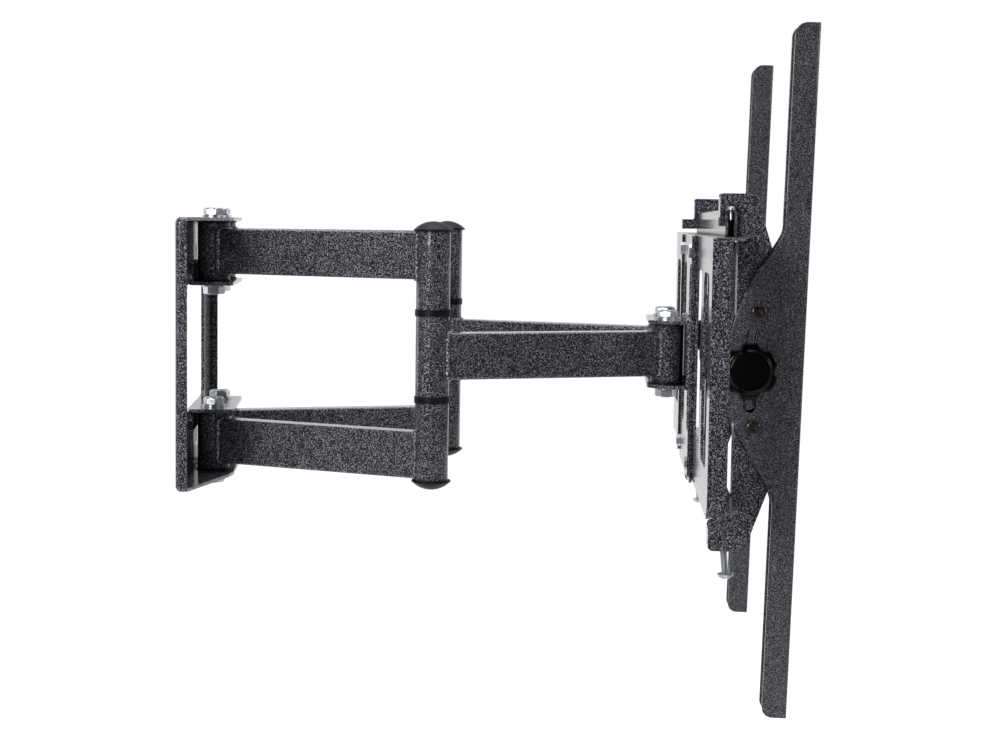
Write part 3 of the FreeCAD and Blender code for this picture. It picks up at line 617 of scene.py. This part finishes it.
def socket_head(line, seat, top):
    """Head turned about the screw: a straight side, a rim rounded by a quarter
    circle and a flat top.  The socket goes straight down from it, and its
    radius is half the width across flats over the cosine from each flat."""
    angle = np.linspace(0, -2 * math.pi, 96, endpoint=False)
    hexagon = guide_socket / 2 / np.cos(np.abs(angle) % (math.pi / 3) - math.pi / 6)
    round_ = np.ones_like(angle)
    quarter = np.linspace(0, math.pi / 2, 7)[:, None]
    up = 1 if top > seat else -1
    radius = np.concatenate([[0.4 * guide_head_radius * round_, guide_head_radius * round_],
                             (guide_head_radius - guide_rim * (1 - np.cos(quarter))) * round_,
                             [1.15 * hexagon, hexagon, hexagon, 0.05 * hexagon]])
    down = np.concatenate([[guide_head, guide_head], guide_rim * (1 - np.sin(quarter[:, 0])),
                           [0.0, guide_socket_bevel, guide_socket_deep, 1.2 * guide_socket_deep]])
    return turned(line, top - up * down, radius, angle if up > 0 else -angle)


for side, outward in (("near", -1), ("far", 1)):
    axis = next(j for j in frame["joints"] if j["name"] == f"{side}_tilt")["axis"]
    level = middle(f"guide_bolts_{side}")[2]
    screws = []
    for half in (-1, 1):
        line = round_part(f"guide_bolts_{side}", axis, lambda p: (p[:, 2] - level) * half > 0)
        top, tip = line[:3:-1] if outward > 0 else line[4:]
        seat = top - outward * guide_head
        plain = sorted((seat + outward * overlap, tip + outward * guide_thread))
        threaded = sorted((tip, tip + outward * (guide_thread + overlap)))
        screws += [socket_head(line, seat, top),
                   shank(line, *plain, m6_radius),
                   thread(line, *threaded, m6_radius, m6_pitch, m6_rings, m6_columns)]
    guides = grid_object(f"guide_screws_{side}", screws, black_oxide)
    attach(guides, f"bracket_{side}")
    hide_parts(f"guide_bolts_{side}")
    dress(black_oxide, f"guide_nuts_{side}")

# ----------------------------------------------------------------- hand knobs
# Glossy black knobs with six soft lobes and a raised round cap, moulded over a
# threaded insert and screwed on the tilt studs.
knob_lobes = 6
knob_cap = 0.0172
knob_reach = 0.0225
gloss_black = moulded("glossy_black_plastic", (0.002, 0.002, 0.0025), 0.13, grain=0.0008)


def soften(profile, times=3):
    """Cuts each corner of an open profile by a quarter, several times over."""
    for _ in range(times):
        first, second = profile[:-1], profile[1:]
        cut = np.stack([0.75 * first + 0.25 * second, 0.25 * first + 0.75 * second], axis=1)
        profile = np.concatenate([profile[:1], cut.reshape(-1, profile.shape[1]), profile[-1:]])
    return profile


def knob_grid(line, back, front, facing):
    """Profile of (place, radius, lobe) rows turned about the stud.  Each radius
    grows by its lobe's share of the knob's reach past its cap, and that growth
    is cut by 0.6 times the sixth power of the sine of half the number of lobes
    times the angle."""
    deep = front - back
    profile = soften(np.array([
        (0.006, 0.2, 0), (0.006, 0.6, 0), (0.01, 0.62, 0), (0.22, 0.64, 0), (0.28, 0.66, 0),
        (0.3, 0.95, 0.9), (0.36, 1.0, 1.0), (0.55, 1.01, 1.0), (0.7, 1.0, 1.0),
        (0.78, 0.985, 0.86), (0.8, 0.97, 0.2), (0.86, 0.965, 0.0), (0.96, 0.95, 0),
        (1.0, 0.89, 0), (0.99, 0.76, 0), (0.985, 0.5, 0), (0.985, 0.25, 0), (0.985, 0.02, 0)]))
    angle = np.linspace(0, 2 * math.pi, 144, endpoint=False)
    lobe = 1 - 0.6 * np.sin(knob_lobes / 2 * angle) ** 6
    radius = profile[:, 1:2] * knob_cap + profile[:, 2:3] * (knob_reach - knob_cap) * lobe
    return turned(line, back + deep * profile[:, 0], radius, angle if facing else -angle)


for side in ("near", "far"):
    axis = next(j for j in frame["joints"] if j["name"] == f"{side}_knob_turn")["axis"]
    line = round_part(f"knob_{side}", axis)
    outside = middle(f"knob_{side}") @ np.array(axis) > middle(f"tv_bracket_{side}") @ np.array(axis)
    back, front = line[4:] if outside else line[:3:-1]
    knob = grid_object(f"hand_knob_{side}", [knob_grid(line, back, front, not outside)], gloss_black)
    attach(knob, f"knob_{side}")
    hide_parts(f"knob_{side}")

# --------------------------------------------------------------------- studio
# White surround, dark only on the camera's side in reflections; a large soft
# lamp from the left and front, a wide one overhead, and a pale floor.
surround = bpy.data.worlds.new("surround")
bpy.context.scene.world = surround
surround.use_nodes = True
tree = surround.node_tree
tree.nodes.clear()


def seen_share(tree):
    """Two sockets: 1 for camera, glossy and transmission rays and 0 for the
    rest, and 1 for glossy rays alone."""
    rays = tree.nodes.new("ShaderNodeLightPath")
    total = rays.outputs["Is Camera Ray"]
    for kind in ("Is Glossy Ray", "Is Transmission Ray"):
        either = tree.nodes.new("ShaderNodeMath")
        either.operation = "MAXIMUM"
        tree.links.new(total, either.inputs[0])
        tree.links.new(rays.outputs[kind], either.inputs[1])
        total = either.outputs[0]
    return total, rays.outputs["Is Glossy Ray"]


def dark_in_front(tree, way):
    """Brightness of the surround along a direction: white, but dark round the
    camera's side, so that black parts stay black there."""
    length = tree.nodes.new("ShaderNodeVectorMath")
    length.operation = "NORMALIZE"
    tree.links.new(way, length.inputs[0])
    parts = tree.nodes.new("ShaderNodeSeparateXYZ")
    tree.links.new(length.outputs["Vector"], parts.inputs[0])
    toward = tree.nodes.new("ShaderNodeMapRange")
    toward.inputs["From Min"].default_value = -1.0
    tree.links.new(parts.outputs["Y"], toward.inputs["Value"])
    return ramp(tree, toward.outputs["Result"], (0.0, 0.01), (0.035, 0.02), (0.15, 0.1),
                (0.35, 0.22), (0.55, 0.38), (0.75, 0.8))


def seen_level(tree, seen, glossy, way, plain):
    """White to the camera, dark in front to glossy rays, plain to the rest."""
    front = dark_in_front(tree, way)
    grey = blend(tree, "MIX", (1.0, 1.0, 1.0), front, glossy)
    return blend(tree, "MIX", plain, grey, seen)


seen, glossy = seen_share(tree)
way = tree.nodes.new("ShaderNodeTexCoord").outputs["Generated"]
backdrop = tree.nodes.new("ShaderNodeBackground")
tree.links.new(seen_level(tree, seen, glossy, way, (0.1, 0.1, 0.1)), backdrop.inputs["Color"])
output = tree.nodes.new("ShaderNodeOutputWorld")
tree.links.new(backdrop.outputs[0], output.inputs["Surface"])


def soft_lamp(name, place, aim, width, height, watts):
    """Rectangular lamp at a place, facing another."""
    light = bpy.data.lights.new(name, "AREA")
    light.shape = "RECTANGLE"
    light.size, light.size_y = width, height
    light.energy = watts
    lamp = bpy.data.objects.new(name, light)
    bpy.context.collection.objects.link(lamp)
    lamp.location = place
    lamp.rotation_euler = (Vector(aim) - Vector(place)).to_track_quat("-Z", "Y").to_euler()


soft_lamp("key_left", (-0.95, -2.0, 0.5), (0.25, -0.15, 0), 0.65, 0.8, 24.5)
soft_lamp("right_high", (1.9, -1.3, 0.6), (0.35, 0, 0), 0.6, 0.6, 6)
soft_lamp("overhead", (0.3, 0.1, 1.8), (0.3, 0, 0), 1.6, 1.0, 22)
soft_lamp("back_right", (2.1, 1.1, 0.5), (0.45, 0, 0), 1.0, 1.6, 5)
soft_lamp("back_left", (-1.7, 1.2, 0.5), (0.1, 0, 0), 1.0, 1.6, 4)
soft_lamp("low_card", (0.5, -0.55, -0.66), (0.5, -0.1, -0.2), 0.7, 0.4, 0.8)

floor_drop = 0.45
floor_level = cad_box[0][2] - floor_drop
reach = 40.0
mesh = bpy.data.meshes.new("floor")
mesh.from_pydata([(-reach, -reach, floor_level), (reach, -reach, floor_level),
                  (reach, reach, floor_level), (-reach, reach, floor_level)], [], [(0, 1, 2, 3)])
floor = bpy.data.objects.new("floor", mesh)
bpy.context.collection.objects.link(floor)
pale, tree, skin = shader("pale_floor")
skin.inputs["Base Color"].default_value = (0.6, 0.6, 0.6, 1)
skin.inputs["Roughness"].default_value = 0.9
seen, glossy = seen_share(tree)
glow = seen_level(tree, seen, glossy, object_place(tree), (0.0, 0.0, 0.0))
tree.links.new(glow, skin.inputs["Emission Color"])
skin.inputs["Emission Strength"].default_value = 0.95
mesh.materials.append(pale)

# --------------------------------------------------------------------- camera
# Standing in front of the mount, a little above it, turned and tipped a few
# degrees.
eye_place = (0.15724, -1.68965, 0.1178)
yaw, pitch, roll = (math.radians(a) for a in (4.27, 4.907, 0.82))
camera = bpy.data.cameras.new("camera")
camera.lens = 65.73
camera.sensor_width = 36.0
camera.clip_start = 0.05
eye = bpy.data.objects.new("camera", camera)
bpy.context.collection.objects.link(eye)
ahead = np.array([math.sin(yaw) * math.cos(pitch), math.cos(yaw) * math.cos(pitch), -math.sin(pitch)])
level_right = np.array([math.cos(yaw), -math.sin(yaw), 0.0])
level_up = np.cross(level_right, ahead)
right = math.cos(roll) * level_right + math.sin(roll) * level_up
up = math.cos(roll) * level_up - math.sin(roll) * level_right
eye.matrix_world = Matrix([*zip(right, up, -ahead, eye_place), (0, 0, 0, 1)])
bpy.context.scene.camera = eye
bpy.context.scene.view_settings.view_transform = "Standard"
